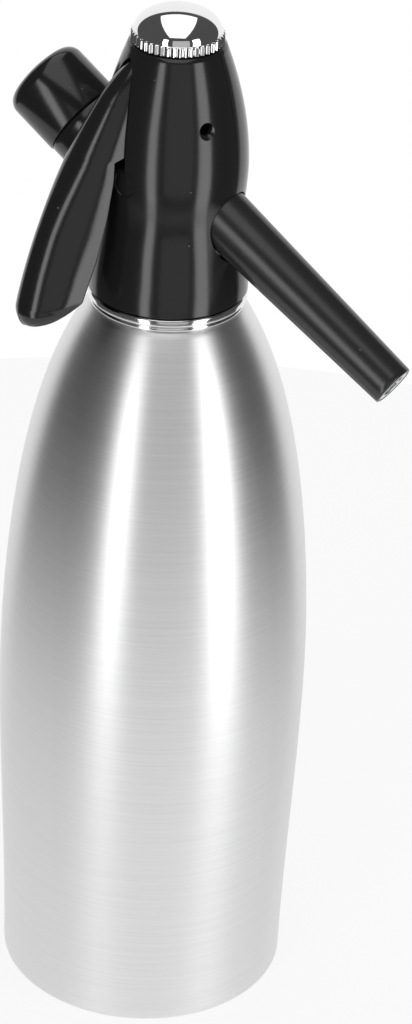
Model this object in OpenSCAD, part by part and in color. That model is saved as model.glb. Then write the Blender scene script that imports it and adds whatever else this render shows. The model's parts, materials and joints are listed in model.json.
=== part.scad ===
// Soda siphon: aluminium bottle, two-shell plastic head with squeeze lever,
// spout, gas charger holder and knurled dome cap. Millimetres, +Z up, origin at
// the centre of the bottle's base, spout towards +X, charger holder towards -X.

/* [Bottle] */
// Radius of the flat base at its outer edge
base_r = 44.6; // [40:0.2:46]
// Largest radius of the belly
belly_r = 47.5; // [46.5:0.5:52]
// Height of the largest radius
belly_z = 108; // [90:1:120]
// Height of the ledge that carries the collar
ledge_z = 235; // [225:1:245]
// Radius of the shoulder at the ledge
ledge_r = 22.8; // [22.4:0.1:23.2]
// Thickness of the bottle wall
bottle_wall = 1.5; // [1:0.1:2.5]
// Thickness of the base
base_t = 3; // [2:0.5:5]
// Radius of the bottle's bottom edge
base_edge_r = 2.5; // [1.5:0.5:4]
// Outer radius of the threaded neck
neck_r = 17.6; // [17.4:0.1:17.8]
// Bore radius of the neck
mouth_r = 15.6; // [15.5:0.1:15.8]
// Height of the neck above the ledge
neck_h = 21; // [20:0.5:22]

/* [Collar] */
// Height of the polished collar
collar_h = 4.2; // [3:0.2:4.4]
// Outer radius of the collar at its top
collar_r = 23.75; // [23.4:0.05:24.2]

/* [Head shells] */
// Height of the shells from rim to top
head_h = 77.9; // [77.5:0.1:78.3]
// Radius at the lower rim
rim_r = 23.8; // [23.4:0.1:25]
// Radius at the waist
waist_r = 21.5; // [21.4:0.1:22.4]
// Height of the waist above the rim
waist_h = 25.4; // [24:0.2:29]
// Radius at the swell
swell_r = 22.2; // [22:0.1:23]
// Height of the swell above the rim
swell_h = 39.5; // [37:0.5:42]
// Radius at the top
top_r = 14.1; // [14:0.1:14.6]
// Thickness of the shells
shell_wall = 2.3; // [1.8:0.1:2.4]

/* [Spout] */
// Height where the spout's axis meets the head's axis, above the rim
spout_up = 38.4; // [38:0.1:39]
// Angle of the spout below level
spout_drop = 31.3; // [30:0.1:33]
// Distance of the outlet from the head's axis, along the spout
spout_len = 91.5; // [70:0.5:110]
// Outer radius of the spout at the head
spout_r = 8.8; // [8.2:0.1:9.2]
// Outer radius of the spout at the outlet
spout_tip_r = 6.65; // [6.2:0.05:8]
// Outer radius of the liner tube
liner_r = 5.5; // [5:0.1:5.7]
// Bore radius of the liner tube
liner_bore_r = 3.85; // [3.2:0.05:4.2]

/* [Charger holder] */
// Height where the holder's axis meets the head's axis, above the rim
holder_up = 23.9; // [23.6:0.1:24.2]
// Angle of the holder above level
holder_rise = 33.3; // [32:0.1:34]
// Outer radius of the holder cap
holder_r = 12.9; // [12.7:0.1:13.6]
// Distance of the cap's seam from the head's axis
holder_seam = 37.5; // [36:0.5:40]
// Thickness of the holder cap's end
holder_end_t = 2.2; // [1.8:0.1:4.4]
// Outer radius of the shells' socket tube
socket_r = 12.5; // [12.4:0.1:12.7]
// Length of a gas charger
charger_len = 65; // [64:0.5:66]
// Distance that the charger's tip passes the head's axis
charger_past = 9.4; // [9.2:0.1:9.6]
// Radius of a gas charger
charger_r = 9; // [8.6:0.1:9.1]
// Radius of the charger's neck
charger_neck_r = 4.3; // [4:0.1:4.5]

/* [Lever] */
// Direction of the lever, seen from above, from the spout
lever_az = -120; // [-122:1:-118]
// Height of the lever's pivot above the rim
pivot_up = 58.4; // [58:0.1:58.6]
// Radius of the lever's crest line, seen from the side
crest_r = 173; // [165:1:180]
// Half of the lever's width
lever_hw = 8.8; // [8:0.2:9.2]
// Wall of the lever's channel
lever_wall = 1.8; // [1.4:0.1:2.4]
// Lowest point of the lever above the rim
lever_foot = -4.4; // [-7:0.2:-3]
// Tip of the lever above the rim
lever_top = 74.6; // [73:0.2:75]
// Length over which the lever narrows to its tip
taper_len = 36; // [24:1:44]
// Height of the lever's rounded foot
foot_round = 9; // [6:0.5:12]
// Radius of the pivot pin
pin_r = 1.75; // [1.5:0.05:2]

/* [Dome cap] */
// Outer radius of the knurled ring
cap_r = 13.6; // [13.2:0.1:14]
// Height of the knurled ring
knurl_h = 3.2; // [2.6:0.1:4]
// Number of knurl ridges
knurl_count = 46; // [30:1:60]
// Rise of the dome above the ring
dome_h = 7; // [5:0.5:12]

/* [Valve] */
// Radius of the valve stem
stem_r = 1.6; // [1.4:0.1:1.8]
// Radius of the valve chamber
chamber_r = 6.5; // [6:0.1:6.8]
// Radius of the dip tube
dip_r = 2.5; // [2.2:0.1:3]
// Gap between the dip tube's foot and the base
dip_gap = 6; // [3:0.5:12]

/* [Fits] */
// Radial clearance of pieces that turn or slide in each other
run_fit = 0.06; // [0.03:0.01:0.1]
// Clearance of pieces that only pass each other
free_gap = 0.3; // [0.2:0.05:0.4]
// Thickness of the flat gaskets
gasket_t = 2; // [1.5:0.1:2.2]

/* [Hidden] */
$fn = 96;
eps = 0.05;

// Heights up the head, all from the rim of the shells
rim_z = ledge_z + collar_h + 0.4;
lip_z = ledge_z + neck_h;
deck_z = lip_z + gasket_t;
spout_z = rim_z + spout_up;
holder_z = rim_z + holder_up;
pivot_z = rim_z + pivot_up;
shell_top_z = rim_z + head_h;
core_top_z = shell_top_z + 2.5;
block_z = pivot_z + 7.4;
block_top_z = shell_top_z - 2;
seat_z = block_z + 5.6;

// Outline of the bottle: a slow swell up to the belly, then a parabola that
// steepens towards the ledge
function ease(t) = t * t * (3 - 2 * t);
function bottle_r(z) = z < belly_z
    ? base_r + (belly_r - base_r) * ease(z / belly_z)
    : let (t = (z - belly_z) / (ledge_z - belly_z))
        belly_r - (belly_r - ledge_r) * (0.68 * pow(t, 2) + 0.32 * pow(t, 6));
bottle_steps = 44;

// Outline of the head shells, z counted from the rim
function head_r(z) = z < waist_h
    ? rim_r + (waist_r - rim_r) * ease(z / waist_h)
    : z < swell_h
        ? waist_r + (swell_r - waist_r) * ease((z - waist_h) / (swell_h - waist_h))
        : swell_r - (swell_r - top_r) * pow((z - swell_h) / (head_h - swell_h), 1.9);
head_steps = 26;

// Points of an arc
function arc(x, y, r, a, b, n) = [for (i = [0:n]) let (t = a + (b - a) * i / n)
    [x + r * cos(t), y + r * sin(t)]];

// Places along the tilted axes and in the lever's own plane
module on_spout(t) translate([0, 0, spout_z]) rotate([0, 90 + spout_drop, 0])
    translate([0, 0, t]) children();
module on_holder(t) translate([0, 0, holder_z]) rotate([0, holder_rise - 90, 0])
    translate([0, 0, t]) children();
module lever_plane() rotate([0, 0, lever_az]) children();
module tube(r, bore, h) difference() {
    cylinder(r = r, h = h);
    translate([0, 0, -1]) cylinder(r = bore, h = h + 2);
}
// A plate of even thickness standing in the lever's plane
module plate(points, w) rotate([90, 0, 0]) linear_extrude(w, center = true) polygon(points);

// ---------------------------------------------------------------- bottle
// Drawn in one piece with its threaded neck
module bottle() color([0.78, 0.79, 0.80]) rotate_extrude($fn = 144) polygon(concat(
    [[0, 0]],
    arc(base_r - base_edge_r, base_edge_r, base_edge_r, -90, -8, 6),
    [for (i = [1:bottle_steps]) let (z = base_edge_r + (ledge_z - base_edge_r) * i / bottle_steps)
        [bottle_r(z), z]],
    [[neck_r, ledge_z], [neck_r, lip_z], [mouth_r, lip_z], [mouth_r, ledge_z - 2 * bottle_wall]],
    [for (i = [bottle_steps - 1:-1:1])
        let (z = base_t + (ledge_z - 2 * bottle_wall - base_t) * i / bottle_steps)
        [max(mouth_r, bottle_r(z) - bottle_wall), z]],
    [[base_r - bottle_wall - 3, base_t], [0, base_t]]));

// Loose polished ring, captive between the ledge and the shells' rim
collar_bore = neck_r + 2.1;
module neck_collar() color([0.85, 0.85, 0.86]) translate([0, 0, ledge_z + 0.1]) rotate_extrude()
    polygon([[collar_bore, 0], [ledge_r + 0.1, 0], [ledge_r + 0.5, 0.5], [ledge_r + 0.5, 1.1],
        [ledge_r + 0.1, 1.4], [collar_r - 0.3, 1.8], [collar_r, 2.2], [collar_r, collar_h - 0.5],
        [collar_r - 0.4, collar_h], [collar_bore, collar_h]]);

module head_gasket() color([0.12, 0.12, 0.13]) translate([0, 0, lip_z])
    tube(neck_r - 0.2, mouth_r + 0.1, gasket_t);

// ---------------------------------------------------------------- head core
// Cast body: deck and plug, charger socket, spout port, valve chamber and pin cheeks
skirt_r = neck_r + 1.8;
skirt_bottom = ledge_z + 2;
plug_r = mouth_r - 0.4;
plug_z = lip_z - 7;
block_r = top_r - shell_wall + 0.1;
nozzle_r = block_r - 1.4;
socket_tube_r = socket_r - 0.9;
skirt_of_cap_r = socket_tube_r - 0.9;
charger_bore = charger_r + free_gap;
charger_tip = -charger_past;
charger_base = charger_tip + charger_len;
holder_end = charger_base + holder_end_t;
pin_base_r = 2.4;
cheek_gap = 3.95;
cheek_w = 8;
cheek_reach = 15;
duct_r = 1.5;
cross_duct_r = 1.2;
inlet_xy = [-1.5, 9.4];
inlet_dist = norm(inlet_xy);
inlet_az = atan2(inlet_xy[1], inlet_xy[0]);
outlet_x = 9;
liner_start = 12;
boss_end = 17;
spigot_r = 6.6;
guide_z = seat_z - 2.1;
seal_pocket_h = 2.1;
seal_pocket_r = stem_r + 1.8;

module cheeks() intersection() {
    translate([0, 0, deck_z]) cylinder(r = cheek_reach, h = block_z - deck_z + 1);
    lever_plane() {
        translate([-9, cheek_gap, deck_z]) cube([13.5, cheek_w, block_z - deck_z + 1]);
        translate([-11, -cheek_gap - cheek_w, deck_z]) cube([15.5, cheek_w, block_z - deck_z + 1]);
    }
}
// The charger's pocket: thread, body, shoulder, neck, seal seat and pin seat
module charger_pocket() on_holder(0) rotate_extrude() polygon([
    [0, charger_tip - 4.9], [pin_base_r + run_fit, charger_tip - 4.9],
    [pin_base_r + run_fit, charger_tip - 2.8], [charger_neck_r + 0.1, charger_tip - 2.8],
    [charger_neck_r + 0.4, charger_tip - 0.3], [charger_neck_r + 0.4, charger_tip + 7.2],
    [charger_bore, charger_tip + 18.4], [charger_bore, 22],
    [skirt_of_cap_r + run_fit, 22], [skirt_of_cap_r + run_fit, holder_seam], [0, holder_seam]]);

screw_az = 96;
screw_up = 40;
screw_boss_face = 17;
screw_r = 1.45;
screw_head_r = 2.7;
plug_face_r = 3.7;
module screw_axis(side) translate([0, 0, rim_z + screw_up]) rotate([0, 0, side * screw_az])
    rotate([0, 90, 0]) children();

module head_core() color([0.62, 0.63, 0.64]) difference() {
    union() {
        translate([0, 0, deck_z]) cylinder(r = skirt_r - 0.5, h = 2.8);
        translate([0, 0, plug_z]) cylinder(r = plug_r, h = deck_z - plug_z + 1);
        on_holder(-4) cylinder(r = socket_tube_r, h = holder_seam - 2.5 + 4);
        on_holder(charger_tip - 3.6) cylinder(r = 7, h = 9);
        on_spout(3) cylinder(r = liner_r + 2.1, h = boss_end - 3);
        translate([0, 0, block_z]) cylinder(r = block_r, h = block_top_z - block_z);
        translate([0, 0, block_top_z - 1]) cylinder(r = nozzle_r, h = core_top_z - block_top_z + 1);
        cheeks();
        for (side = [-1, 1]) screw_axis(side)
            translate([0, 0, 6]) cylinder(r = 4, h = screw_boss_face - 6);
    }
    charger_pocket();
    on_spout(boss_end - 0.25) cylinder(r = spigot_r + 0.27, h = 12.3);
    // water in: up from the dip tube, across into the chamber
    translate([inlet_xy[0], inlet_xy[1], plug_z - 1]) cylinder(r = dip_r + run_fit, h = 8);
    translate([inlet_xy[0], inlet_xy[1], plug_z + 6]) cylinder(r = duct_r, h = seat_z + 2 + duct_r - plug_z - 6);
    translate([0, 0, seat_z + 2]) rotate([0, 0, inlet_az]) rotate([0, 90, 0])
        translate([0, 0, 2]) cylinder(r = cross_duct_r, h = inlet_dist - 2);
    // valve chamber, seat, stem guide and seal pocket
    translate([0, 0, seat_z]) cylinder(r = chamber_r, h = core_top_z - seat_z + 1);
    translate([0, 0, guide_z]) cylinder(r = stem_r + 1.4, h = 3);
    translate([0, 0, block_z - 1]) cylinder(r = stem_r + run_fit, h = guide_z - block_z + 2);
    translate([0, 0, block_z - 1]) cylinder(r = seal_pocket_r, h = seal_pocket_h + 1);
    // water out: across from under the seat, down to the spout
    translate([0, 0, guide_z + 1.1]) rotate([0, 90, 0]) cylinder(r = 1, h = outlet_x);
    translate([outlet_x, 0, spout_z - outlet_x * tan(spout_drop)])
        cylinder(r = duct_r, h = guide_z + 1.1 - spout_z + outlet_x * tan(spout_drop));
    on_spout(8) cylinder(r = 3, h = 5);
    on_spout(liner_start) cylinder(r = liner_r + run_fit, h = 6);
    // pivot pin, screws and gas duct
    lever_plane() translate([0, 0, pivot_z]) rotate([90, 0, 0])
        cylinder(r = pin_r + run_fit, h = 40, center = true);
    for (side = [-1, 1]) screw_axis(side) translate([0, 0, 12.6]) cylinder(r = screw_r + run_fit, h = 6);
    translate([gas_x, 0, plug_z - 1]) cylinder(r = 1, h = gas_top_z - plug_z + 1);
}
// Threaded ring that screws on the neck, seated against the core's deck
module thread_ring() color([0.62, 0.63, 0.64]) translate([0, 0, skirt_bottom])
    tube(skirt_r, neck_r + run_fit, deck_z - skirt_bottom);
gas_x = -(charger_tip - 4) * cos(holder_rise) - 0.4;
gas_top_z = holder_z + (charger_tip - 4) * sin(holder_rise);

// ---------------------------------------------------------------- head shells
module revolved_head(inset) rotate_extrude($fn = 120) polygon(concat([[0, rim_z - (inset > 0 ? 1 : 0)]],
    [for (i = [inset > 0 ? -1 : 0:head_steps]) let (z = head_h * i / head_steps)
        [head_r(max(z, 0)) - inset, rim_z + (i < 0 ? -1 : z)]],
    inset > 0 ? [[head_r(head_h) - inset, shell_top_z + 1], [0, shell_top_z + 1]] : [[0, shell_top_z]]));

// The lever seen from outside: a leaf that narrows to its tip, with a rounded foot.
// The half width at a height z above the rim, and the leaf as a polygon from low to its tip
function lever_half(z) = let (t = max(0, min(1, (z - lever_top) / taper_len + 1)),
        b = max(0, min(1, (lever_foot - z) / foot_round + 1)))
    lever_hw * sqrt(1 - pow(t, 1.4)) * sqrt(1 - pow(b, 2.3));
leaf_steps = 22;
module leaf(gap, low, high) rotate([90, 0, 90]) linear_extrude(60) polygon([for (side = [1, -1])
    for (i = [0:leaf_steps]) let (k = side > 0 ? i : leaf_steps - i,
            z = low + (high - low) * (1 - cos(180 * k / leaf_steps)) / 2, half = lever_half(z) + gap)
        if (side > 0 || half > eps)
            [side * half, rim_z + z + (k == leaf_steps ? max(gap, 0) : 0)]]);
window_low = pivot_z - 14.4;

module shells() difference() {
    union() {
        difference() {
            union() {
                revolved_head(0);
                on_holder(10) cylinder(r = socket_r, h = holder_seam - 0.2 - 10);
            }
            revolved_head(shell_wall);
        }
        intersection() {
            for (side = [-1, 1]) screw_axis(side)
                translate([0, 0, screw_boss_face]) cylinder(r = plug_face_r + 1.2, h = 10);
            revolved_head(0.5);
        }
    }
    on_holder(2) cylinder(r = socket_tube_r + 0.15, h = holder_seam);
    on_spout(8) cylinder(r1 = spout_r_at(8) + 0.15, r2 = spout_r_at(40) + 0.15, h = 32);
    for (side = [-1, 1]) screw_axis(side) {
        cylinder(r = screw_r + 0.2, h = 30);
        translate([0, 0, screw_boss_face + 1.9]) cylinder(r = plug_face_r, h = 10);
    }
    lever_plane() translate([0, 0, pivot_z]) rotate([90, 0, 0])
        cylinder(r = pin_r + 0.25, h = 80, center = true);
}
module left_shell() color([0.045, 0.047, 0.05]) difference() {
    shells();
    translate([-80, -80, rim_z - 5]) cube([160, 80, head_h + 10]);
}
module right_shell() color([0.05, 0.052, 0.055]) difference() {
    shells();
    translate([-80, 0, rim_z - 5]) cube([160, 80, head_h + 10]);
    lever_plane() leaf(0.4, window_low - rim_z, lever_top);
}
module shell_screws() color([0.7, 0.7, 0.72]) for (side = [-1, 1]) screw_axis(side) difference() {
    union() {
        translate([0, 0, 13]) cylinder(r = screw_r, h = 6);
        translate([0, 0, screw_boss_face + 1.9]) cylinder(r = screw_head_r, h = 1.5);
    }
    translate([0, 0, screw_boss_face + 2.6]) cylinder(r = 1, h = 2, $fn = 6);
}
module screw_plugs() color([0.06, 0.06, 0.065]) intersection() {
    for (side = [-1, 1]) screw_axis(side)
        translate([0, 0, screw_boss_face + 3.5]) cylinder(r = plug_face_r - run_fit, h = 4);
    revolved_head(0.12);
}

// ---------------------------------------------------------------- lever
// A hollow leaf with a crest bent along an arc, and an arm inside that reaches to the pivot
crest_foot = [49.2, -4.6];
crest_tilt = 8.74;
crest_c = [crest_foot[0] - crest_r * cos(crest_tilt), rim_z + crest_foot[1] - crest_r * sin(crest_tilt)];
crest_depth = 7;
function crest_side(hw, r, n) = [for (i = [-n:n]) let (s = sin(90 * i / n))
    [r - crest_depth * (1 - pow(1 - pow(abs(s), 2.4), 1 / 2.4)), hw * s]];
module crest(inset) translate([crest_c[0], 0, crest_c[1]]) rotate([90, 0, 0])
    rotate_extrude(angle = 44, $fn = 360) polygon(concat([[crest_r - 45, -lever_hw]],
        crest_side(lever_hw, crest_r - inset, 10), [[crest_r - 45, lever_hw]]));
// Side outline of the leaf's flanks: foot, hand side, step into the window, top
flank = [[32.4, 4], [28.3, 16.4], [25.2, 30.4], [23.5, 41.4], [23.1, 47],
    [17.2, 48.8], [14.2, 60.4], [12.3, 70.4], [12.3, 76], [62, 76]];
foot_end = [[62, -9], [46, -5.4], [40, -1.2]];
module lever() color([0.05, 0.05, 0.055]) difference() {
    union() {
        lever_plane() difference() {
            intersection() {
                crest(0);
                plate([for (p = concat(flank, foot_end)) [p[0], p[1] + rim_z]], 30);
                leaf(0, lever_foot, lever_top);
            }
            intersection() {
                crest(lever_wall);
                leaf(-lever_wall, lever_foot + lever_wall, lever_top - 2 * lever_wall);
            }
        }
        lever_plane() {
            plate([for (p = [[-1, 62.3], [3.2, 62.4], [8, 63.9], [18.8, 63.6], [24, 58.8], [29.4, 50.4],
                [24, 48.4], [8, 54.4], [0, 54.6]]) [p[0], p[1] + rim_z]], 6.4);
            plate([for (p = [[-8, 1.6], [-8, 4.3], [0, 4], [0, -3]]) [p[0], p[1] + pivot_z]], 6.4);
            translate([-8, 0, pivot_z + 2.9]) rotate([90, 0, 0]) cylinder(r = 1.5, h = 6.4, center = true);
            translate([0, 0, pivot_z]) rotate([90, 0, 0]) cylinder(r = 4, h = 7.2, center = true);
        }
    }
    lever_plane() translate([0, 0, pivot_z]) rotate([90, 0, 0])
        cylinder(r = pin_r + run_fit, h = 20, center = true);
}
module lever_pin() color([0.75, 0.75, 0.77]) lever_plane() translate([0, 0, pivot_z]) rotate([90, 0, 0])
    cylinder(r = pin_r, h = 2 * (cheek_gap + cheek_w) - 0.6, center = true);

// ---------------------------------------------------------------- valve
bar_z = pivot_z + 4.55;
disc_h = 2.4;
module lift_bar() color([0.72, 0.72, 0.74]) lever_plane() difference() {
    translate([-10, -3, bar_z]) cube([12.4, 6, 1.5]);
    translate([0, 0, bar_z - 1]) cylinder(r = 1, h = 4);
}
module valve_stem() color([0.75, 0.75, 0.77]) {
    translate([0, 0, bar_z + 1.5]) cylinder(r = stem_r, h = seat_z + disc_h + 1.2 - bar_z - 1.5);
    translate([0, 0, bar_z]) cylinder(r = 1, h = 2);
}
module valve_disc() color([0.1, 0.1, 0.1]) translate([0, 0, seat_z + eps])
    tube(stem_r + 3.2, stem_r, disc_h);
// Helical spring as one swept tube
spring_turns = 4;
spring_r = 4.2;
spring_wire = 0.45;
spring_low = seat_z + disc_h + 2 * eps + spring_wire;
spring_high = core_top_z - 0.2 - spring_wire;
function spring_ring(u) = let (a = 360 * spring_turns * u, z = spring_low + (spring_high - spring_low) * u)
    [for (k = [0:5]) [(spring_r + spring_wire * cos(60 * k)) * cos(a),
        (spring_r + spring_wire * cos(60 * k)) * sin(a), z + spring_wire * sin(60 * k)]];
module valve_spring() color([0.7, 0.7, 0.72]) {
    n = spring_turns * 16;
    points = [for (i = [0:n]) each spring_ring(i / n)];
    sides = [for (i = [0:n - 1]) for (k = [0:5]) let (a = 6 * i + k, b = 6 * i + (k + 1) % 6)
        each [[a, b + 6, b], [a, a + 6, b + 6]]];
    ends = concat([for (k = [1:4]) [0, k, k + 1]], [for (k = [1:4]) [6 * n, 6 * n + k + 1, 6 * n + k]]);
    polyhedron(points, concat(sides, ends));
}
module stem_seal() color([0.1, 0.1, 0.1]) translate([0, 0, block_z + 0.1])
    tube(seal_pocket_r - 0.02, stem_r + 0.05, seal_pocket_h - 0.2);

// ---------------------------------------------------------------- dome cap
washer_t = 1;
module cap_washer() color([0.12, 0.12, 0.12]) translate([0, 0, block_top_z + 0.02])
    tube(block_r - 0.4, nozzle_r + 0.1, washer_t);
module dome_cap() color([0.82, 0.82, 0.83]) {
    low = shell_top_z + 0.3;
    difference() {
        union() {
            translate([0, 0, low]) linear_extrude(knurl_h) polygon([for (i = [0:2 * knurl_count - 1])
                let (a = 180 * i / knurl_count, r = cap_r - (i % 2) * 0.45) [r * cos(a), r * sin(a)]]);
            translate([0, 0, low + knurl_h]) rotate_extrude() polygon(concat([[0, 0]],
                [for (i = [0:14]) let (a = 90 * i / 14) [(cap_r - 0.8) * cos(a), dome_h * sin(a)]]));
            translate([0, 0, block_top_z + washer_t + 0.05]) cylinder(r = block_r - 0.3, h = 3);
        }
        translate([0, 0, block_top_z]) cylinder(r = nozzle_r + run_fit, h = core_top_z - block_top_z + 0.3);
        translate([0, 0, core_top_z]) cylinder(r1 = nozzle_r - 0.5, r2 = nozzle_r - 3, h = knurl_h + 2);
    }
}

// ---------------------------------------------------------------- dip tube
module dip_tube() color([0.85, 0.86, 0.86, 0.8]) translate([inlet_xy[0], inlet_xy[1], base_t + dip_gap])
    tube(dip_r, dip_r - 0.8, plug_z + 6 - base_t - dip_gap);
module tube_nut() color([0.3, 0.3, 0.32]) translate([inlet_xy[0], inlet_xy[1], plug_z - 6]) difference() {
    cylinder(r = 4.1, h = 6, $fn = 6);
    translate([0, 0, -1]) cylinder(r = dip_r + run_fit, h = 8);
}

// ---------------------------------------------------------------- spout
function spout_r_at(t) = spout_r + (spout_tip_r - spout_r) * (t - boss_end) / (spout_len - boss_end);
module spout_sleeve() color([0.08, 0.08, 0.085]) difference() {
    union() {
        difference() {
            on_spout(boss_end + 0.2) cylinder(r1 = spout_r_at(boss_end + 0.2), r2 = spout_tip_r,
                h = spout_len - boss_end - 0.2);
            translate([0, 0, lip_z - 10]) cylinder(r = skirt_r + 0.3, h = 50);
        }
        on_spout(boss_end + 0.2) cylinder(r = spigot_r, h = 15);
    }
    on_spout(boss_end) cylinder(r = liner_r + 0.05, h = spout_len);
}
module spout_liner() color([0.8, 0.8, 0.82]) on_spout(liner_start + 1.6)
    tube(liner_r, liner_bore_r, spout_len - liner_start - 1.6);
module spout_seal() color([0.1, 0.1, 0.1]) on_spout(liner_start + 0.05)
    tube(liner_r, liner_bore_r - 0.4, 1.5);

// ---------------------------------------------------------------- charger and holder
cap_edge_r = 4;
module charger_holder() color([0.05, 0.05, 0.055]) on_holder(0) difference() {
    union() {
        rotate_extrude() polygon(concat([[0, holder_seam], [holder_r - 0.3, holder_seam],
            [holder_r, holder_seam + 0.4]],
            arc(holder_r - cap_edge_r, holder_end - cap_edge_r - 1, cap_edge_r, 0, 75, 7),
            [[0, holder_end]]));
        translate([0, 0, 24]) cylinder(r = skirt_of_cap_r, h = holder_seam - 23.5);
    }
    translate([0, 0, 23]) cylinder(r = charger_bore, h = charger_base - 23 - 2.5);
    translate([0, 0, charger_base - 2.6]) cylinder(r = charger_bore, h = 1);
    translate([0, 0, charger_base - 1.7])
        cylinder(r1 = charger_bore, r2 = charger_bore - 1.6, h = 1.7);
}
module gas_charger() color([0.72, 0.73, 0.75]) on_holder(0) rotate_extrude() polygon(concat(
    [[0, charger_tip], [charger_neck_r, charger_tip], [charger_neck_r, charger_tip + 8]],
    [[charger_neck_r + 1.2, charger_tip + 11.6], [charger_r - 1, charger_tip + 17.4],
        [charger_r, charger_tip + 20]],
    arc(charger_r - 3, charger_base - 3.2, 3, 0, 80, 6), [[0, charger_base - 0.1]]));
module charger_seal() color([0.1, 0.1, 0.1]) on_holder(charger_tip - 2.75)
    tube(charger_neck_r, 1.5, 2.4);
module piercing_pin() color([0.75, 0.75, 0.77]) on_holder(charger_tip - 4.8) difference() {
    union() {
        cylinder(r = pin_base_r, h = 2);
        cylinder(r = 1.2, h = 3.6);
        translate([0, 0, 3.6]) cylinder(r1 = 1.2, r2 = 0.5, h = 1);
    }
    translate([0, 0, -1]) cylinder(r = 0.35, h = 7);
}
module check_valve() color([0.1, 0.1, 0.1]) translate([gas_x, 0, plug_z - 4]) difference() {
    union() {
        cylinder(r = 2.4, h = 4);
        translate([0, 0, 3]) cylinder(r = 3, h = 1);
    }
    translate([0, 0, 1]) cylinder(r = 0.9, h = 4);
    translate([-3, -0.15, -1]) cube([6, 0.3, 3]);
}

bottle();
neck_collar();
head_gasket();
head_core();
thread_ring();
left_shell();
right_shell();
shell_screws();
screw_plugs();
lever();
lever_pin();
lift_bar();
valve_stem();
valve_disc();
valve_spring();
stem_seal();
cap_washer();
dome_cap();
dip_tube();
tube_nut();
spout_sleeve();
spout_liner();
spout_seal();
charger_holder();
gas_charger();
charger_seal();
piercing_pin();
check_valve();
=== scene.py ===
import json
import math

import bmesh
import bpy
import numpy as np
from mathutils import Matrix, Vector


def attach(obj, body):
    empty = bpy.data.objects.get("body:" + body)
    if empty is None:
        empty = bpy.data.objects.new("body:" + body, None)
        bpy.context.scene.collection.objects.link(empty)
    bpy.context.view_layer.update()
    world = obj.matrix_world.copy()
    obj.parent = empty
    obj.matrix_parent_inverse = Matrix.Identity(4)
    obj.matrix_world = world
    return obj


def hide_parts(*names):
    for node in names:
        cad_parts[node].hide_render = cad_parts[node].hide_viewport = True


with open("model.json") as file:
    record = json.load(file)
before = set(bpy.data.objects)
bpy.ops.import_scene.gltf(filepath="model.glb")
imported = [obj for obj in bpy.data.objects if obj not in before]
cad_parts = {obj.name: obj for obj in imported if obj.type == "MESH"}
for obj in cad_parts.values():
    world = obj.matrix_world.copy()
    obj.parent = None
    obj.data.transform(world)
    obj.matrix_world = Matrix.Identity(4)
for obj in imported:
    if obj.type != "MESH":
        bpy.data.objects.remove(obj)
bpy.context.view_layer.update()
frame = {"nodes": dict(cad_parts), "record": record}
scene = bpy.context.scene
scene.view_settings.view_transform = "Standard"
nodes = frame["nodes"]

# ---- Camera
# A long lens looks down at the siphon from its lever side, a little tilted to
# the right, as in the photograph. The frame is 412 by 1024 pixels.
eye = Vector((0.5510, -0.8817, 0.7712))
heading = math.radians(121.223)
look_down = math.radians(29.968)
tilt = math.radians(2.741)
focal_px, frame_px, centre_row_px, sensor_mm = 3940.65, 1024, 483.83, 36
ahead = Vector((math.cos(heading) * math.cos(look_down),
                math.sin(heading) * math.cos(look_down), -math.sin(look_down)))
level = ahead.cross(Vector((0, 0, 1))).normalized()
upright = level.cross(ahead)
frame_right = level * math.cos(tilt) + upright * math.sin(tilt)
frame_up = upright * math.cos(tilt) - level * math.sin(tilt)
camera = bpy.data.objects.new("camera", bpy.data.cameras.new("camera"))
camera.data.sensor_width = sensor_mm
camera.data.lens = focal_px / frame_px * sensor_mm
camera.data.shift_y = (centre_row_px - frame_px / 2) / frame_px
turn = Matrix((frame_right, frame_up, -ahead)).transposed().to_4x4()
camera.matrix_world = Matrix.Translation(eye) @ turn
scene.collection.objects.link(camera)
scene.camera = camera


# ---- Room
# A white studio. The camera, the metal and the gloss all see white, and rays
# that only light the object see a plain soft grey.
def seen_by(tree, *kinds):
    """A socket that is 1 for rays of the named kinds and 0 for all others: the largest of them."""
    rays = tree.nodes.new("ShaderNodeLightPath")
    seen = rays.outputs[kinds[0]]
    for kind in kinds[1:]:
        either = tree.nodes.new("ShaderNodeMath")
        either.operation = "MAXIMUM"
        tree.links.new(seen, either.inputs[0])
        tree.links.new(rays.outputs[kind], either.inputs[1])
        seen = either.outputs[0]
    return seen


room = bpy.data.worlds.new("room")
scene.world = room
room.use_nodes = True
tree = room.node_tree
tree.nodes.clear()
white = tree.nodes.new("ShaderNodeBackground")
white.inputs["Color"].default_value = (1, 1, 1, 1)
soft = tree.nodes.new("ShaderNodeBackground")
soft.inputs["Color"].default_value = (0.45, 0.45, 0.45, 1)
blend = tree.nodes.new("ShaderNodeMixShader")
shown = seen_by(tree, "Is Camera Ray", "Is Glossy Ray", "Is Transmission Ray")
tree.links.new(shown, blend.inputs[0])
tree.links.new(soft.outputs[0], blend.inputs[1])
tree.links.new(white.outputs[0], blend.inputs[2])
tree.links.new(blend.outputs[0], tree.nodes.new("ShaderNodeOutputWorld").inputs[0])

# ---- Softboxes
# Two tall softboxes stand left and right of the camera and reach below the
# table top, with a wide dim one between them. The last one, long from front to
# back, hangs above and gives the dome its hot spot.
camera_side = math.degrees(heading) + 180


def softbox(name, azimuth, distance, height, size, power, aim=(0, 0, 0.2)):
    """A rectangular lamp at an azimuth in degrees, a distance and a height, aimed at a point."""
    lamp = bpy.data.lights.new(name, "AREA")
    lamp.shape = "RECTANGLE"
    lamp.size, lamp.size_y = size
    lamp.energy = power
    o = bpy.data.objects.new(name, lamp)
    a = math.radians(azimuth)
    place = Vector((distance * math.cos(a), distance * math.sin(a), height))
    turn = (place - Vector(aim)).to_track_quat("Z", "Y").to_matrix().to_4x4()
    o.matrix_world = Matrix.Translation(place) @ turn
    scene.collection.objects.link(o)


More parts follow.
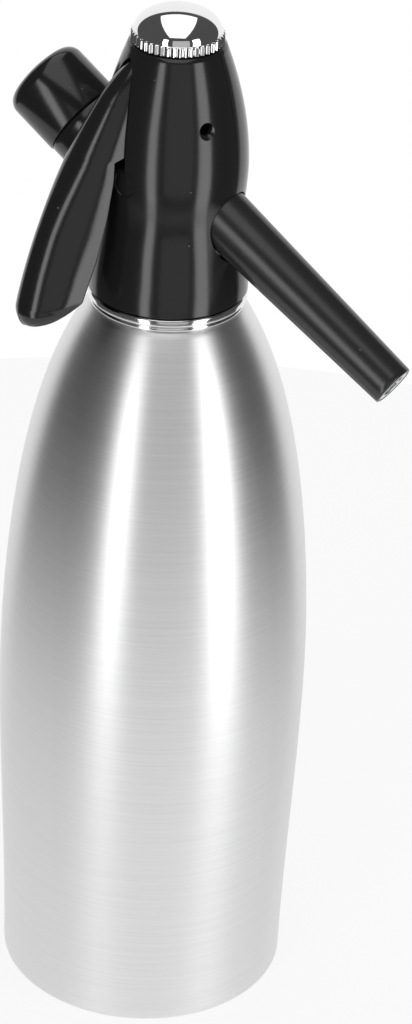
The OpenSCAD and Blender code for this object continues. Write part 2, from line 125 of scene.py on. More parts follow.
softbox("left_softbox", camera_side - 30, 1.6, 0.15, (0.36, 2.0), 8.5)
softbox("right_softbox", camera_side + 50, 1.6, 0.15, (0.56, 2.0), 12)
softbox("front_softbox", camera_side + 10, 1.9, 0.25, (1.5, 2.0), 4.2)
softbox("top_softbox", camera_side, 0.02, 1.3, (0.85, 1.9), 6.4, aim=(0, 0, 0.32))

# ---- Table
# A round white table top, matt, that glows to the camera and to gloss so that
# it shows as white as the room, and keeps the siphon's shadow.
table_r, table_glow = 0.40, 0.86


def turned(profile, steps=192, axis=(0, 0, 1), start=(0, 0, 0), span=(0, 2 * math.pi)):
    """A profile of (radius, distance) rows turned about an axis that starts at a point. A whole
    turn leaves out its last column, which would be the first one again."""
    k = np.array(axis, float) / np.linalg.norm(axis)
    x = np.cross((0, 1, 0), k)
    x /= np.linalg.norm(x)
    y = np.cross(k, x)
    whole = math.isclose(span[1] - span[0], 2 * math.pi)
    t = np.linspace(span[0], span[1], steps, endpoint=not whole)
    r, h = np.array(profile, float).T
    ring = np.cos(t)[:, None] * x + np.sin(t)[:, None] * y
    return np.array(start) + r[:, None, None] * ring + h[:, None, None] * k


def grid_piece(name, points, close=(False, True), poles=(), ends=False, flip=False):
    """A mesh on a grid of points (rows, columns, xyz). Rows or columns may close on themselves,
    and the rows named in poles, and the two end columns, may each get one closing face."""
    rows, cols = points.shape[:2]
    a, b = np.meshgrid(np.arange(rows if close[0] else rows - 1),
                       np.arange(cols if close[1] else cols - 1), indexing="ij")
    a2, b2 = (a + 1) % rows, (b + 1) % cols
    corners = (a * cols + b, a * cols + b2, a2 * cols + b2, a2 * cols + b)
    faces = np.stack(corners, -1).reshape(-1, 4).tolist()
    ring = np.arange(cols)
    faces += [(ring[::-1] if row == 0 else (rows - 1) * cols + ring).tolist() for row in poles]
    if ends:
        column = np.arange(rows) * cols
        faces += [column.tolist(), (column[::-1] + cols - 1).tolist()]
    if flip:
        faces = [f[::-1] for f in faces]
    mesh = bpy.data.meshes.new(name)
    mesh.from_pydata(points.reshape(-1, 3).tolist(), [], faces)
    mesh.shade_smooth()
    o = bpy.data.objects.new(name, mesh)
    scene.collection.objects.link(o)
    return o


def new_material(name, color, metallic, roughness, **sockets):
    """A Principled material, with any other sockets given by their names."""
    m = bpy.data.materials.new(name)
    m.use_nodes = True
    p = m.node_tree.nodes["Principled BSDF"]
    p.inputs["Base Color"].default_value = (*color, 1)
    p.inputs["Metallic"].default_value = metallic
    p.inputs["Roughness"].default_value = roughness
    for key, value in sockets.items():
        p.inputs[key.replace("_", " ")].default_value = value
    return m


table_rings = [(r, 0) for r in (0.0005, 0.1, 0.2, 0.32, table_r)]
table = grid_piece("table_top", turned(table_rings, 96), flip=True)
table_white = new_material("table_white", (0.82, 0.82, 0.82), 0.0, 0.9, Specular_IOR_Level=0.0)
tree = table_white.node_tree
share = tree.nodes.new("ShaderNodeMath")
share.operation = "MULTIPLY"
share.inputs[1].default_value = table_glow
glow = tree.nodes.new("ShaderNodeEmission")
blend = tree.nodes.new("ShaderNodeMixShader")
tree.links.new(seen_by(tree, "Is Camera Ray", "Is Glossy Ray"), share.inputs[0])
tree.links.new(share.outputs[0], blend.inputs[0])
tree.links.new(tree.nodes["Principled BSDF"].outputs[0], blend.inputs[1])
tree.links.new(glow.outputs[0], blend.inputs[2])
tree.links.new(blend.outputs[0], tree.nodes["Material Output"].inputs["Surface"])
table.data.materials.append(table_white)

# ---- Curtain
# A black cloth round the camera's side of the room, hidden from the camera and
# from the light on the siphon. The head's plastic mirrors it and so stays black,
# and its faint glow keeps those reflections a very dark grey.
curtain_r, curtain_reach, curtain_tip = 2.6, math.radians(124), math.radians(15)
a = np.linspace(0.001, curtain_reach, 40)
curtain_bow = np.stack([curtain_r * np.sin(a), curtain_r * np.cos(a)], 1)
curtain_way = (-math.cos(heading) * math.cos(curtain_tip),
               -math.sin(heading) * math.cos(curtain_tip), math.sin(curtain_tip))
curtain = grid_piece("black_curtain", turned(curtain_bow, 72, curtain_way, (0, 0, 0.2)), poles=(0,))
curtain.visible_camera = curtain.visible_diffuse = curtain.visible_shadow = False
black_cloth = new_material("black_cloth", (0.05, 0.05, 0.05), 0.0, 0.9, Specular_IOR_Level=0.0,
                           Emission_Color=(1, 1, 1, 1), Emission_Strength=0.05)
curtain.data.materials.append(black_cloth)

# ---- Bottle
# One-litre bottle spun from aluminium and brushed round its axis, with a
# rounded bottom edge and the threaded neck that the head screws on.
base_r, belly_r, belly_z, ledge_z, ledge_r = 0.0446, 0.0475, 0.108, 0.235, 0.0228
neck_r, mouth_r, wall, base_edge, base_t = 0.0176, 0.0156, 0.0015, 0.0025, 0.003
lip_z = ledge_z + 0.021
pole_r = 0.0003  # radius of the small face that closes a turned piece on its axis


def ease(t):
    """Smooth step from 0 to 1."""
    return t * t * (3 - 2 * t)


def bottle_r(z):
    """Radius at a height: a slow swell to the belly, then a parabola that steepens to the ledge."""
    low = base_r + (belly_r - base_r) * ease(z / belly_z)
    t = np.clip((z - belly_z) / (ledge_z - belly_z), 0, 1)
    up = belly_r - (belly_r - ledge_r) * (0.68 * t ** 2 + 0.32 * t ** 6)
    return np.where(z < belly_z, low, up)


bend = np.radians(np.linspace(-90, -4, 12))
bottom_edge = np.stack([base_r - base_edge + base_edge * np.cos(bend),
                        base_edge + base_edge * np.sin(bend)], 1)
z = np.linspace(base_edge * 1.3, ledge_z - 0.0004, 150)
z_in = np.linspace(ledge_z - 2 * wall, base_t, 60)
bottle_profile = np.concatenate([
    [(pole_r, 0.0)], bottom_edge, np.stack([bottle_r(z), z], 1), [(ledge_r - 0.0004, ledge_z)],
    [(neck_r, ledge_z), (neck_r, lip_z), (mouth_r, lip_z)],
    np.stack([np.maximum(mouth_r, bottle_r(z_in) - wall), z_in], 1), [(pole_r, base_t)]])
bottle = grid_piece("bottle_body", turned(bottle_profile, 256), poles=(0, -1))


def brush_group():
    """Fine marks round the Z axis: noise stretched along the way round and fine along Z."""
    g = bpy.data.node_groups.new("brush_marks", "ShaderNodeTree")
    for label, usual in (("Fineness", 1.0), ("Base Roughness", 0.3)):
        socket = g.interface.new_socket(label, in_out="INPUT", socket_type="NodeSocketFloat")
        socket.default_value = usual
    for label in ("Tone", "Roughness"):
        g.interface.new_socket(label, in_out="OUTPUT", socket_type="NodeSocketFloat")
    n, link = g.nodes, g.links.new
    gi, go = n.new("NodeGroupInput"), n.new("NodeGroupOutput")
    where = n.new("ShaderNodeTexCoord")
    layers = []
    for scale, squeeze in ((4200, 0.008), (1500, 0.012), (9000, 0.004)):
        mapping = n.new("ShaderNodeMapping")
        mapping.inputs["Scale"].default_value = (squeeze, squeeze, 1.0)
        link(where.outputs["Object"], mapping.inputs["Vector"])
        noise = n.new("ShaderNodeTexNoise")
        noise.inputs["Detail"].default_value = 3.0
        size = n.new("ShaderNodeMath")
        size.operation = "MULTIPLY"
        size.inputs[1].default_value = scale
        link(gi.outputs["Fineness"], size.inputs[0])
        link(size.outputs[0], noise.inputs["Scale"])
        link(mapping.outputs[0], noise.inputs["Vector"])
        layers.append(noise.outputs["Fac"])
    coarse = n.new("ShaderNodeMath")
    coarse.operation = "ADD"
    link(layers[0], coarse.inputs[0])
    link(layers[1], coarse.inputs[1])
    every = n.new("ShaderNodeMath")
    every.operation = "MULTIPLY_ADD"
    every.inputs[1].default_value = 0.6
    link(layers[2], every.inputs[0])
    link(coarse.outputs[0], every.inputs[2])
    tone = n.new("ShaderNodeMapRange")
    tone.inputs["From Min"].default_value, tone.inputs["From Max"].default_value = 0.9, 1.7
    link(every.outputs[0], tone.inputs["Value"])
    link(tone.outputs[0], go.inputs["Tone"])
    rough = n.new("ShaderNodeMath")
    rough.operation = "MULTIPLY_ADD"
    rough.inputs[1].default_value = 0.06
    link(tone.outputs[0], rough.inputs[0])
    link(gi.outputs["Base Roughness"], rough.inputs[2])
    link(rough.outputs[0], go.inputs["Roughness"])
    return g


brush = brush_group()


def brushed_metal(name, color, base, depth, stretch, fineness=1.0):
    """Metal with brush marks round the Z axis, which spread its shine upright. Its colour has
    painted shade, 7 percent darker in the marks' hollows, and painted highlight, 3 percent lighter
    on their ridges."""
    m = new_material(name, color, 1.0, base, Anisotropic=stretch, Anisotropic_Rotation=0.25)
    n, link = m.node_tree.nodes, m.node_tree.links.new
    p = n["Principled BSDF"]
    marks = n.new("ShaderNodeGroup")
    marks.node_tree = brush
    marks.inputs["Base Roughness"].default_value = base
    marks.inputs["Fineness"].default_value = fineness
    link(marks.outputs["Roughness"], p.inputs["Roughness"])
    bump = n.new("ShaderNodeBump")
    bump.inputs["Distance"].default_value = depth
    bump.inputs["Strength"].default_value = 0.5
    link(marks.outputs["Tone"], bump.inputs["Height"])
    link(bump.outputs[0], p.inputs["Normal"])
    # Painted shade and painted highlight: the colour follows the marks' relief, darker in the
    # hollows and lighter on the ridges.
    painted_shade_and_highlight = n.new("ShaderNodeMix")
    painted_shade_and_highlight.data_type = "RGBA"
    painted_shade_and_highlight.inputs["A"].default_value = (*[c * 0.93 for c in color], 1)
    painted_shade_and_highlight.inputs["B"].default_value = (*[c * 1.03 for c in color], 1)
    link(marks.outputs["Tone"], painted_shade_and_highlight.inputs["Factor"])
    link(painted_shade_and_highlight.outputs["Result"], p.inputs["Base Color"])
    round_way = n.new("ShaderNodeTangent")
    round_way.direction_type = "RADIAL"
    round_way.axis = "Z"
    link(round_way.outputs[0], p.inputs["Tangent"])
    return m


aluminium = brushed_metal("brushed_aluminium", (0.84, 0.842, 0.845), 0.40, 0.000008, 0.66)
bottle.data.materials.append(aluminium)
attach(bottle, "bottle")
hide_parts("bottle")

# ---- Collar
# Loose polished ring between the bottle's ledge and the head, with a groove
# turned round it and every edge broken.
collar_h, collar_r = 0.0042, 0.02375
collar_bore, foot_z = neck_r + 0.0021, ledge_z + 0.0001


def rounded(profile, r, n=5):
    """A profile of (radius, height) rows whose inner corners are bent over a radius, along a
    parabola of n points each."""
    p = np.array(profile, float)
    made = [p[:1]]
    for a, b, c in zip(p[:-2], p[1:-1], p[2:]):
        u, v = (a - b) / np.linalg.norm(a - b), (c - b) / np.linalg.norm(c - b)
        cut = min(r, 0.45 * np.linalg.norm(a - b), 0.45 * np.linalg.norm(c - b))
        w = np.linspace(0, 1, n)[:, None]
        made.append((1 - w) ** 2 * (b + u * cut) + 2 * w * (1 - w) * b + w ** 2 * (b + v * cut))
    return np.concatenate([*made, p[-1:]])


collar_profile = [(collar_bore, 0), (ledge_r + 0.0001, 0), (ledge_r + 0.0005, 0.0005),
                  (ledge_r + 0.0005, 0.0011), (ledge_r + 0.0001, 0.0014),
                  (collar_r - 0.0003, 0.0018), (collar_r, 0.0022), (collar_r, collar_h - 0.0005),
                  (collar_r - 0.0004, collar_h), (collar_bore, collar_h)]
collar_loop = rounded(collar_profile, 0.00025, 4)
collar = grid_piece("collar_ring", turned(collar_loop, 192, start=(0, 0, foot_z)),
                    close=(True, True))
polished = brushed_metal("polished_ring", (0.80, 0.80, 0.81), 0.10, 0.000006, 0.3, 1.5)
collar.data.materials.append(polished)
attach(collar, "collar")
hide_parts("neck_collar")

# ---- Head shells
# Two glossy black mouldings, split in the plane of spout and holder, screwed to
# the cast core. The lever's window, pin holes and screw wells are cut in them.
rim_z = ledge_z + collar_h + 0.0004
head_h, rim_r, waist_r, waist_h = 0.0779, 0.0238, 0.0215, 0.0254
swell_r, swell_h, top_r, shell_wall = 0.0222, 0.0395, 0.0141, 0.0023
seam_gap, seam_turn = 0.0001, 0.28
holder_z, holder_rise, holder_seam = rim_z + 0.0239, math.radians(33.3), 0.0375
socket_r, socket_bore, flare = 0.0125, 0.01175, 0.0030
holder_way = np.array((-math.cos(holder_rise), 0, math.sin(holder_rise)))
holder_up = np.array((math.sin(holder_rise), 0, math.cos(holder_rise)))
holder_start = np.array((0, 0, holder_z))
spout_start, spout_drop = np.array((0, 0, rim_z + 0.0384)), math.radians(31.3)
spout_way = np.array((math.cos(spout_drop), 0, -math.sin(spout_drop)))
spout_r, spout_fit = 0.0088, 0.00035
lever_turn, pivot_z = math.radians(-120), rim_z + 0.0584
lever_out = np.array((math.cos(lever_turn), math.sin(lever_turn), 0))
lever_side = np.array((-math.sin(lever_turn), math.cos(lever_turn), 0))
lever_hw, lever_foot, lever_top, taper_len, foot_round = 0.0088, -0.0044, 0.0746, 0.036, 0.009
window_fit, window_low = 0.0004, pivot_z - 0.0144
pin_at, pin_hole_r, pin_mouth_r = np.array((0, 0, pivot_z)), 0.00195, 0.0033
well_turn, well_h, well_floor = math.radians(96), 0.040, 0.0189
well_r, well_mouth_r = 0.0037, 0.0043


def head_r(z):
    """Radius at a height above the rim: in to the waist, out to the swell, round to the top."""
    low = rim_r + (waist_r - rim_r) * ease(np.clip(z / waist_h, 0, 1))
    mid = waist_r + (swell_r - waist_r) * ease(np.clip((z - waist_h) / (swell_h - waist_h), 0, 1))
    up = swell_r - (swell_r - top_r) * np.clip((z - swell_h) / (head_h - swell_h), 0, 1) ** 1.9
    return np.where(z < waist_h, low, np.where(z < swell_h, mid, up))


def cut_by(piece, cutter):
    """Cuts a piece by a cutter with a Boolean and removes the cutter."""
    m = piece.modifiers.new("cut", "BOOLEAN")
    m.operation, m.solver, m.object = "DIFFERENCE", "EXACT", cutter
    bpy.context.view_layer.update()
    seen = piece.evaluated_get(bpy.context.evaluated_depsgraph_get())
    mesh = bpy.data.meshes.new_from_object(seen)
    old, piece.data = piece.data, mesh
    piece.modifiers.clear()
    bpy.data.meshes.remove(old)
    bpy.data.objects.remove(cutter)


def rod(axis, start, radius, length, radius_end=None):
    """A closed rod from a start point along an axis, straight or tapered, to cut with."""
    end = radius if radius_end is None else radius_end
    return grid_piece("cutter", turned([(radius, 0), (end, length)], 64, axis, start),
                      poles=(0, -1))


def joined(name, pieces):
    """One object that holds the meshes of several."""
    with bpy.context.temp_override(active_object=pieces[0], selected_editable_objects=pieces):
        bpy.ops.object.join()
    pieces[0].name = name
    return pieces[0]


def sharpened(piece, degrees=34):
    """Smooth shading that breaks at edges above an angle."""
    piece.data.shade_smooth()
    piece.data.set_sharp_from_angle(angle=math.radians(degrees))


def socket_half(hand):
    """Half of the tube that takes the charger holder, flared where it leaves the head: each line
    along the tube meets the head's surface and bends over to run along it. A hand of 1 is the
    left half and -1 the right one."""
    low = 0 if hand > 0 else 180
    a = np.radians(np.linspace(low, low + 180, 90))[:, None]
    out = np.cos(a) * holder_up + np.sin(a) * np.array((0, 1, 0))
    base = holder_start + socket_r * out
    near, far = np.full_like(a, 0.008), np.full_like(a, 0.036)
    for _ in range(40):
        mid = (near + far) / 2
        p = base + mid * holder_way
        inside = np.hypot(p[:, :1], p[:, 1:2]) < head_r(p[:, 2:] - rim_z)
        near, far = np.where(inside, mid, near), np.where(inside, far, mid)
    meet = base + near * holder_way
    foot = meet + flare * out - 0.3 * flare * holder_way
    r = head_r(foot[:, 2:] - rim_z) - 0.00003
    foot[:, :2] *= r / np.hypot(foot[:, :1], foot[:, 1:2])
    w = np.linspace(0, 1, 14)[:, None, None]
    bend = (1 - w) ** 2 * (meet + flare * holder_way) + 2 * w * (1 - w) * meet + w ** 2 * foot
    end = holder_seam - 0.0002
    tube = ((socket_bore, 0.016), (socket_bore, end), (socket_r - 0.00035, end),
            (socket_r - 0.0001, end - 0.0001), (socket_r, end - 0.00035), (socket_r, end - 0.002))
    straight = np.stack([holder_start + q * out + t * holder_way for q, t in tube])
    points = np.concatenate([straight, bend])
    points[..., 1] += hand * seam_gap
    return grid_piece("socket", points, close=(True, False), ends=True, flip=True)


def lever_half(z):
    """Half width of the lever at a height above the rim: a leaf with a rounded foot."""
    t = np.clip((z - lever_top) / taper_len + 1, 0, 1)
    b = np.clip((lever_foot - z) / foot_round + 1, 0, 1)
    return lever_hw * np.sqrt(1 - t ** 1.4) * np.sqrt(1 - b ** 2.3)


def lever_point(r, w, z):
    """Place of a point given outwards, sideways and above the rim, in the lever's plane."""
    r, w, z = np.broadcast_arrays(r, w, z)
    return r[..., None] * lever_out + w[..., None] * lever_side + (
        z[..., None] + rim_z) * np.array((0, 0, 1))


def window_cutter():
    """The leaf, a little larger, as a block through the head's wall on the lever's side."""
    z = np.linspace(window_low - rim_z, lever_top + window_fit, 60)
    half = lever_half(np.minimum(z, lever_top)) + window_fit
    loop_w, loop_z = np.concatenate([half, -half[::-1]]), np.concatenate([z, z[::-1]])
    return grid_piece("cutter", np.stack([lever_point(r, loop_w, loop_z) for r in (0.006, 0.04)]),
                      poles=(0, -1))


z = np.linspace(0.0005, head_h - 0.0005, 110)
outer = np.stack([head_r(z), z], 1)
inner = np.stack([head_r(z[::-1]) - shell_wall, z[::-1]], 1)
shell_loop = np.concatenate([
    [(rim_r - 0.0005, 0.0)], outer, [(top_r - 0.0005, head_h), (top_r - 0.0017, head_h)],
    inner, [(rim_r - shell_wall + 0.0004, 0.0)]])
pin_rim = float(head_r(pivot_z - rim_z)) - 0.0006
shells = {}
for name, hand, low in (("left", 1, 0), ("right", -1, 180)):
    span = (math.radians(low + seam_turn), math.radians(low + 180 - seam_turn))
    half = grid_piece(f"{name}_shell_moulding",
                      turned(shell_loop, 130, start=(0, 0, rim_z), span=span),
                      close=(True, False), ends=True)
    well_out = np.array((math.cos(well_turn * hand), math.sin(well_turn * hand), 0))
    well_at = well_out * well_floor + (0, 0, rim_z + well_h)
    cut_by(half, rod(well_out, well_at, well_r, 0.01))
    cut_by(half, rod(well_out, well_at + well_out * 0.0029, well_r, 0.0008, well_mouth_r))
    pin_out = -hand * lever_side
    cut_by(half, rod(pin_out, pin_at + pin_out * 0.012, pin_hole_r, 0.02))
    cut_by(half, rod(pin_out, pin_at + pin_out * pin_rim, 0.0019, 0.0014, pin_mouth_r))
    cut_by(half, rod(holder_way, holder_start + holder_way * 0.004, socket_bore, 0.03))
    cut_by(half, rod(spout_way, spout_start + spout_way * 0.01, spout_r + spout_fit, 0.03))
    if name == "right":
        cut_by(half, window_cutter())
    sharpened(half)
    shells[name] = joined(f"{name}_shell_moulding", [half, socket_half(hand)])


def marks_group():
    """Slight unevenness of a moulded or turned surface: slow waves, fine scuffs, a few specks."""
    g = bpy.data.node_groups.new("surface_marks", "ShaderNodeTree")
    for label, usual in (("Wave Scale", 90.0), ("Scuff Scale", 1400.0), ("Base Roughness", 0.12),
                         ("Roughness Spread", 0.08)):
        socket = g.interface.new_socket(label, in_out="INPUT", socket_type="NodeSocketFloat")
        socket.default_value = usual
    for label in ("Roughness", "Height", "Specks"):
        g.interface.new_socket(label, in_out="OUTPUT", socket_type="NodeSocketFloat")
    n, link = g.nodes, g.links.new
    gi, go = n.new("NodeGroupInput"), n.new("NodeGroupOutput")
    where = n.new("ShaderNodeTexCoord")
    wave, scuff = n.new("ShaderNodeTexNoise"), n.new("ShaderNodeTexNoise")
    for tex, label, detail in ((wave, "Wave Scale", 1.0), (scuff, "Scuff Scale", 5.0)):
        tex.inputs["Detail"].default_value = detail
        link(where.outputs["Object"], tex.inputs["Vector"])
        link(gi.outputs[label], tex.inputs["Scale"])
    spread = n.new("ShaderNodeMath")
    spread.operation = "MULTIPLY_ADD"
    link(scuff.outputs["Fac"], spread.inputs[0])
    link(gi.outputs["Roughness Spread"], spread.inputs[1])
    link(gi.outputs["Base Roughness"], spread.inputs[2])
    link(spread.outputs[0], go.inputs["Roughness"])
    height = n.new("ShaderNodeMath")
    height.operation = "MULTIPLY_ADD"
    height.inputs[1].default_value = 0.02
    link(scuff.outputs["Fac"], height.inputs[0])
    link(wave.outputs["Fac"], height.inputs[2])
    link(height.outputs[0], go.inputs["Height"])
    dots = n.new("ShaderNodeTexVoronoi")
    dots.inputs["Scale"].default_value = 130.0
    link(where.outputs["Object"], dots.inputs["Vector"])
    speck = n.new("ShaderNodeMath")
    speck.operation = "LESS_THAN"
    speck.inputs[1].default_value = 0.035
    link(dots.outputs["Distance"], speck.inputs[0])
    link(speck.outputs[0], go.inputs["Specks"])
    return g


surface_marks = marks_group()


def moulded(name, color, base, spread, wave=90.0, depth=0.00006, metallic=0.0,
            speck=(0.10, 0.10, 0.10), **sockets):
    """A moulded, cast or turned surface with uneven shine and a few specks of dust."""
    m = new_material(name, color, metallic, base, **sockets)
    n, link = m.node_tree.nodes, m.node_tree.links.new
    p = n["Principled BSDF"]
    marks = n.new("ShaderNodeGroup")
    marks.node_tree = surface_marks
    marks.inputs["Base Roughness"].default_value = base
    marks.inputs["Roughness Spread"].default_value = spread
    marks.inputs["Wave Scale"].default_value = wave
    link(marks.outputs["Roughness"], p.inputs["Roughness"])
    bump = n.new("ShaderNodeBump")
    bump.inputs["Distance"].default_value = depth
    bump.inputs["Strength"].default_value = 1.0
    link(marks.outputs["Height"], bump.inputs["Height"])
    link(bump.outputs[0], p.inputs["Normal"])
    tint = n.new("ShaderNodeMix")
    tint.data_type = "RGBA"
    tint.inputs["A"].default_value = (*color, 1)
    tint.inputs["B"].default_value = (*speck, 1)
    link(marks.outputs["Specks"], tint.inputs["Factor"])
    link(tint.outputs["Result"], p.inputs["Base Color"])
    return m


gloss = moulded("gloss_black", (0.010, 0.010, 0.011), 0.13, 0.08, 60.0, 0.00013)
for name, half in shells.items():
    half.data.materials.append(gloss)
    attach(half, "head")
    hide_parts(f"{name}_shell")

# ---- Spout
# Satin black tube that slopes down from the head, slid over a metal liner whose
# bright end shows as a ring in the outlet.
spout_len, spout_root, spout_tip_r, liner_r, liner_bore = 0.0915, 0.017, 0.00665, 0.0055, 0.00385
slip, liner_root = 0.00005, 0.0136
t = np.linspace(spout_root + 0.0002, spout_len - 0.0005, 60)
taper = spout_r + (spout_tip_r - spout_r) * (t - spout_root) / (spout_len - spout_root)
sleeve_loop = np.concatenate([
    [(liner_r + slip, spout_root + 0.0002)], np.stack([taper, t], 1),
    [(spout_tip_r - 0.00015, spout_len - 0.00015), (spout_tip_r - 0.0005, spout_len),
     (liner_r + 0.0003, spout_len), (liner_r + slip, spout_len - 0.0003)]])
sleeve = grid_piece("spout_tube", turned(sleeve_loop, 128, spout_way, spout_start),
                    close=(True, True))
satin = moulded("satin_black", (0.016, 0.016, 0.017), 0.22, 0.05, depth=0.000006)
sleeve.data.materials.append(satin)
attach(sleeve, "head")
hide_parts("spout_sleeve")
liner_end = spout_len - 0.0001
liner_loop = rounded([(liner_bore, liner_root), (liner_r, liner_root), (liner_r, liner_end),
                      (liner_bore, liner_end), (liner_bore, liner_root + 0.0001)], 0.00025)
liner = grid_piece("outlet_tube", turned(liner_loop, 96, spout_way, spout_start),
                   close=(True, True))
steel = moulded("steel", (0.62, 0.63, 0.64), 0.22, 0.1, depth=0.00001, metallic=1.0,
                speck=(0.5, 0.5, 0.5))
liner.data.materials.append(steel)
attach(liner, "head")
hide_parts("spout_liner")

# ---- Charger holder
# Closed black cap with a rounded end, whose threaded skirt screws into the
# socket and presses the gas charger on its seal.
holder_r, holder_edge, charger_base, skirt_r = 0.0129, 0.004, 0.0556, 0.0107
holder_bore, skirt_start, dish_r = 0.0093, 0.024, 0.0077
holder_end = charger_base + 0.0022
a = np.radians(np.linspace(0, 75, 14))
corner = np.stack([holder_r - holder_edge + holder_edge * np.cos(a),
                   holder_end - holder_edge - 0.001 + holder_edge * np.sin(a)], 1)
holder_loop = np.concatenate([
    [(pole_r, charger_base), (dish_r, charger_base), (holder_bore, charger_base - 0.0017),
     (holder_bore, skirt_start), (skirt_r, skirt_start), (skirt_r, holder_seam),
     (holder_r - 0.0003, holder_seam), (holder_r - 0.0001, holder_seam + 0.00015),
     (holder_r, holder_seam + 0.0004)], corner,
    [(0.0068, holder_end - 0.00035), (0.004, holder_end - 0.0001), (pole_r, holder_end)]])
holder = grid_piece("holder_cap", turned(holder_loop, 160, holder_way, holder_start), poles=(0, -1))
sharpened(holder, 50)
holder.data.materials.append(gloss)
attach(holder, "holder")
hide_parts("charger_holder")

# ---- Lever
# Glossy black leaf with a hollow back. Its crest bends along an arc, its flanks
# run in towards the head, and an arm inside carries it on the pivot pin.
crest_r, crest_tilt, end_round, lever_wall = 0.173, math.radians(8.74), 0.0035, 0.0016
crest_at = (0.0501 - crest_r * math.cos(crest_tilt), -0.0046 - crest_r * math.sin(crest_tilt))
arm_hw, eye_r, eye_bore, eye_hw = 0.0032, 0.004, 0.00181, 0.0036
# height above the rim and distance from the head's axis: where the flank ends, and how far in
# the ellipse across the lever reaches
flank = np.array([(-0.009, 0.0615), (-0.0054, 0.046), (-0.0012, 0.040), (0.004, 0.0324),
                  (0.0164, 0.0283), (0.0304, 0.0252), (0.0414, 0.0235), (0.0470, 0.0231),
                  (0.0488, 0.0172), (0.0604, 0.0142), (0.0704, 0.0123), (0.08, 0.0123)])
section_base = np.array([(0, 0.0370), (0.0304, 0.0252), (0.0470, 0.0228), (0.0746, 0.0120)])


def crest(z):
    """Distance of the lever's crest line from the head's axis at a height: an arc."""
    return crest_at[0] + np.sqrt(crest_r ** 2 - (z - crest_at[1]) ** 2)


def lever_skin():
    """Rings from the crest line out to the leaf's outline, then straight down to the flank's edge.
    Across the lever the rings follow an ellipse as deep as the lever, and at the tip and the foot
    they turn over a small radius."""
    k = np.linspace(0, np.pi, 140)
    z = lever_foot + 0.00001 + (lever_top - lever_foot - 0.00002) * (1 - np.cos(k)) / 2
    half = lever_half(z)
    z, w = np.concatenate([z, z[-2:0:-1]]), np.concatenate([half, -half[-2:0:-1]])
    spine = np.clip(z, lever_foot + 0.0075, lever_top - 0.012)
    stop = np.minimum(np.interp(z, *flank.T), crest(z) - 0.0015)
    across = np.abs(w) / np.hypot(w, z - spine)
    depth = crest(z) - np.interp(z, *section_base.T)
    fall = np.minimum(end_round + across * (depth - end_round), crest(z) - stop - 0.0008)
    rings = []
    for turn in np.linspace(0, math.pi / 2, 26):
        zz, ww = spine + math.sin(turn) * (z - spine), math.sin(turn) * w
        rings.append(lever_point(crest(zz) - fall * (1 - math.cos(turn)), ww, zz))
    for share in np.linspace(0.1, 1, 8):
        rings.append(lever_point(crest(z) - fall + share * (stop - crest(z) + fall), w, z))
    return np.stack(rings)


skin = grid_piece("lever_leaf", lever_skin(), flip=True)
shape = bmesh.new()
shape.from_mesh(skin.data)
bmesh.ops.remove_doubles(shape, verts=shape.verts, dist=0.000001)
shape.to_mesh(skin.data)
shape.free()
thick = skin.modifiers.new("wall", "SOLIDIFY")
thick.thickness, thick.offset, thick.use_even_offset = lever_wall, -1, False
arm_outlines = (
    [(-0.001, 0.0623), (0.0032, 0.0624), (0.008, 0.0639), (0.0188, 0.0632), (0.0232, 0.0584),
     (0.0282, 0.0500), (0.024, 0.0484), (0.008, 0.0544), (0, 0.0546)],
    [(-0.0094, 0.0600), (-0.0094, 0.0612), (-0.0086, 0.0627), (0, 0.0624), (0, 0.0554)])
arms = []
for outline in arm_outlines:
    r, z = np.array(outline).T
    sides = np.stack([lever_point(r, w, z) for w in (-arm_hw, arm_hw)])
    arms.append(grid_piece("lever_arm", sides, poles=(0, -1)))
eye_loop = [(eye_bore, -eye_hw), (eye_r, -eye_hw), (eye_r, eye_hw), (eye_bore, eye_hw)]
arms.append(grid_piece("lever_eye", turned(eye_loop, 64, lever_side, pin_at), close=(True, True)))
arm = joined("lever_arm", arms)
for piece, degrees in ((skin, 60), (arm, 34)):
    sharpened(piece, degrees)
    piece.data.materials.append(gloss)
    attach(piece, "lever")
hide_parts("lever")

# ---- Dome cap
# Turned brass, chrome plated: a low dome over a ring of fine upright ribs for
# the fingers. It screws on the valve chamber and presses the washer.
cap_r, knurl_h, knurl_count, dome_h, cap_bore = 0.0136, 0.0032, 46, 0.007, 0.0103
cap_low, rib_depth = rim_z + head_h + 0.0003, 0.00045
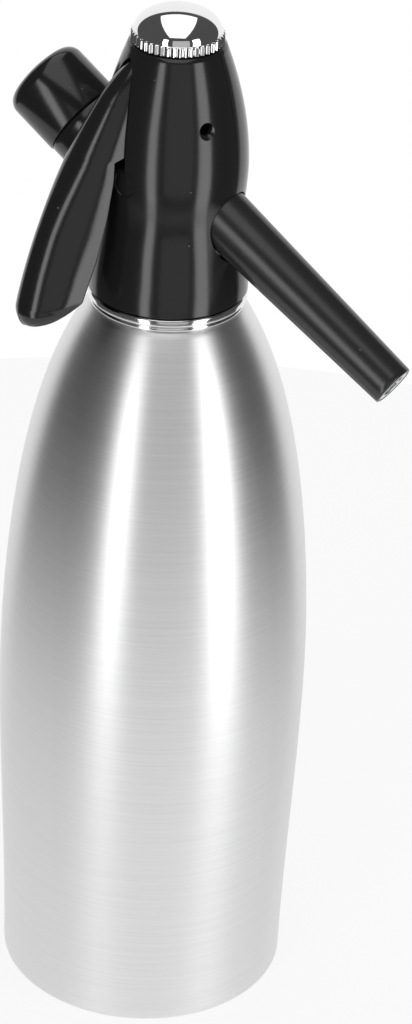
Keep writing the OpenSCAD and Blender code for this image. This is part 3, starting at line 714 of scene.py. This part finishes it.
# rows of radius, height and how deep the ribs cut there
a = np.radians(np.linspace(0, 89.2, 40))
dome = np.stack([(cap_r - 0.0008) * np.cos(a), knurl_h + dome_h * np.sin(a), 0 * a], 1)
ribs = np.stack([np.full(7, cap_r), np.linspace(0.0003, knurl_h - 0.0004, 7), np.ones(7)], 1)
cap_rows = np.concatenate([
    [(cap_bore, 0.0012, 0), (cap_bore, 0, 0), (cap_r - 0.0006, 0, 0),
     (cap_r - 0.0003, 0.0001, 0.5)],
    ribs, [(cap_r - 0.0004, knurl_h - 0.0001, 0.4), (cap_r - 0.0007, knurl_h, 0)], dome])
t = np.linspace(0, 2 * math.pi, knurl_count * 12, endpoint=False)
rib = rib_depth * (0.5 - 0.5 * np.cos(knurl_count * t)) ** 0.75
r = cap_rows[:, :1] - cap_rows[:, 2:] * rib
cap_z = np.broadcast_to(cap_low + cap_rows[:, 1:2], r.shape)
cap = grid_piece("dome_cap_chrome", np.stack([r * np.cos(t), r * np.sin(t), cap_z], -1),
                 poles=(0, -1))
sharpened(cap, 40)
chrome = moulded("chrome", (0.84, 0.84, 0.85), 0.03, 0.03, depth=0.000004, metallic=1.0,
                 speck=(0.7, 0.7, 0.7))
cap.data.materials.append(chrome)
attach(cap, "dome")
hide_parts("dome_cap")

# ---- Screw plugs, pin and the parts inside
# Small parts that keep their turned or moulded CAD form: the shell screws under
# their plugs, the pin, the valve, seals, dip tube and the gas charger.
rubber = moulded("black_rubber", (0.020, 0.020, 0.020), 0.55, 0.2, depth=0.00002)
cast = moulded("cast_metal", (0.50, 0.51, 0.52), 0.38, 0.2, 300.0, 0.00008, 1.0, (0.4, 0.4, 0.4))
zinc = moulded("zinc_steel", (0.58, 0.59, 0.61), 0.24, 0.14, 400.0, 0.00003, 1.0, (0.5, 0.5, 0.5))
grey = moulded("grey_plastic", (0.20, 0.20, 0.21), 0.42, 0.15)
clear = moulded("clear_tube", (0.80, 0.82, 0.82), 0.20, 0.1, Transmission_Weight=0.6)
finishes = {"black_rubber": rubber, "cast_metal": cast, "zinc_steel": zinc, "grey_plastic": grey,
            "clear_tube": clear, "steel": steel, "gloss_black": gloss, "satin_black": satin,
            "chrome": chrome, "polished_ring": polished, "brushed_aluminium": aluminium}
for part in frame["record"]["subparts"]:
    solid = nodes[part["node"]]
    solid.data.materials.clear()
    solid.data.materials.append(finishes[part["material_slot"]])
